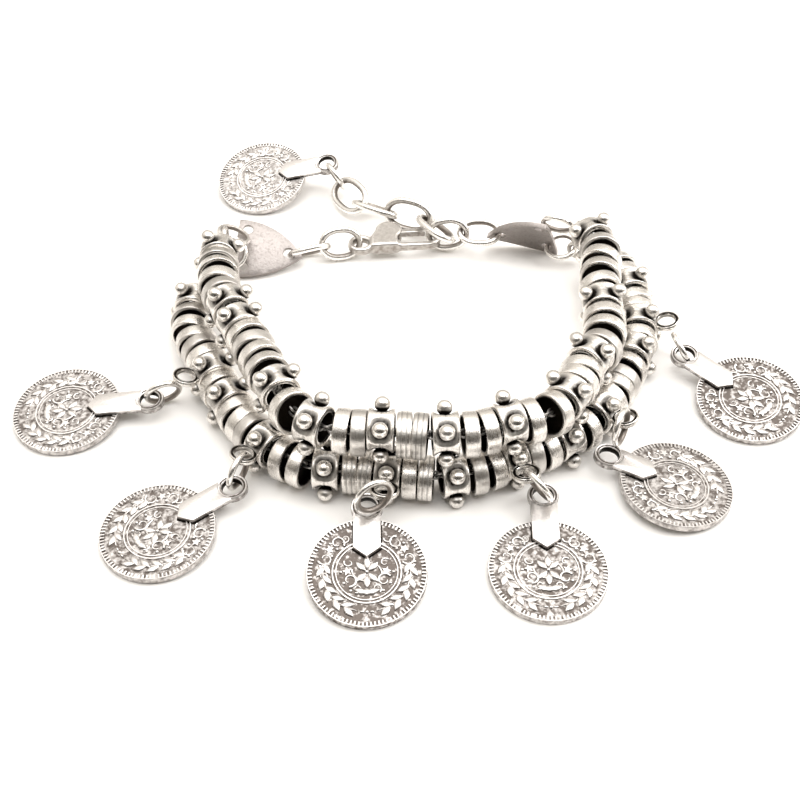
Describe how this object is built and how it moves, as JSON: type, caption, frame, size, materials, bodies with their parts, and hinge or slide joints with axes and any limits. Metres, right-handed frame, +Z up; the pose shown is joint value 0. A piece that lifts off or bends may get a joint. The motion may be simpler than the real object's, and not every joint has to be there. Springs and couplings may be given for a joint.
{
  "type": "coin bracelet",
  "caption": "Two-strand bead bracelet in antique silver with coin drops round the outside, leaf-shaped end plates, a lobster clasp and an extender chain that ends in a coin.",
  "frame": {"origin": "middle of the wrist opening, at the height of the surface that the bracelet lies on", "axes": "+X along the front from left to right, +Y from the front towards the clasp at the back, +Z up from the surface"},
  "size_m": [0.1331, 0.1172, 0.0171],
  "materials": {
    "bead_silver": "polished antique silver with dark oxide in the grooves",
    "coin_silver": "struck antique silver, bright relief on a dark oxidised field",
    "plate_silver": "fine speckled matt silver with worn edges",
    "chain_silver": "bright polished silver"
  },
  "bodies": {
    "bracelet": {"coin_1": "coin_silver", "coin_2": "coin_silver", "coin_3": "coin_silver", "coin_4": "coin_silver", "coin_5": "coin_silver", "coin_6": "coin_silver", "coin_7": "coin_silver", "drop_bead_1": "bead_silver", "drop_bead_2": "bead_silver", "drop_bead_3": "bead_silver", "drop_bead_4": "bead_silver", "drop_bead_5": "bead_silver", "drop_bead_6": "bead_silver", "granule_bead_1": "bead_silver", "granule_bead_2": "bead_silver", "granule_bead_3": "bead_silver", "granule_bead_4": "bead_silver", "granule_bead_5": "bead_silver", "granule_bead_6": "bead_silver", "granule_bead_7": "bead_silver", "granule_bead_8": "bead_silver", "granule_bead_9": "bead_silver", "granule_bead_10": "bead_silver", "granule_bead_11": "bead_silver", "granule_bead_12": "bead_silver", "granule_bead_13": "bead_silver", "granule_bead_14": "bead_silver", "granule_bead_15": "bead_silver", "strand_outer_1": "bead_silver", "strand_outer_2": "bead_silver", "strand_outer_3": "bead_silver", "strand_outer_4": "bead_silver", "strand_inner_1": "bead_silver", "strand_inner_2": "bead_silver", "strand_inner_3": "bead_silver", "strand_inner_4": "bead_silver", "drop_ring_1": "chain_silver", "drop_ring_2": "chain_silver", "drop_ring_3": "chain_silver", "drop_ring_4": "chain_silver", "drop_ring_5": "chain_silver", "drop_ring_6": "chain_silver", "end_ring_1": "chain_silver", "end_ring_2": "chain_silver", "end_ring_3": "chain_silver", "end_ring_4": "chain_silver", "end_plate_left": "plate_silver", "end_plate_right": "plate_silver", "chain_link_1": "chain_silver", "chain_link_2": "chain_silver", "chain_link_3": "chain_silver", "chain_link_4": "chain_silver", "extender_link_1": "chain_silver", "extender_link_2": "chain_silver", "extender_link_3": "chain_silver", "extender_link_4": "chain_silver", "extender_ring": "chain_silver", "clasp_body": "chain_silver"},
    "lever": {"clasp_lever": "chain_silver"}
  },
  "joints": [
    {"name": "clasp_lever_pivot", "type": "hinge", "parent": "bracelet", "child": "lever", "pos_m": [-0.00367, 0.02953, 0.0026], "axis": [0, 0, -1], "range_deg": [0, 20], "stiffness_Nm_per_rad": 0.002, "springref_deg": -8.59}
  ]
}
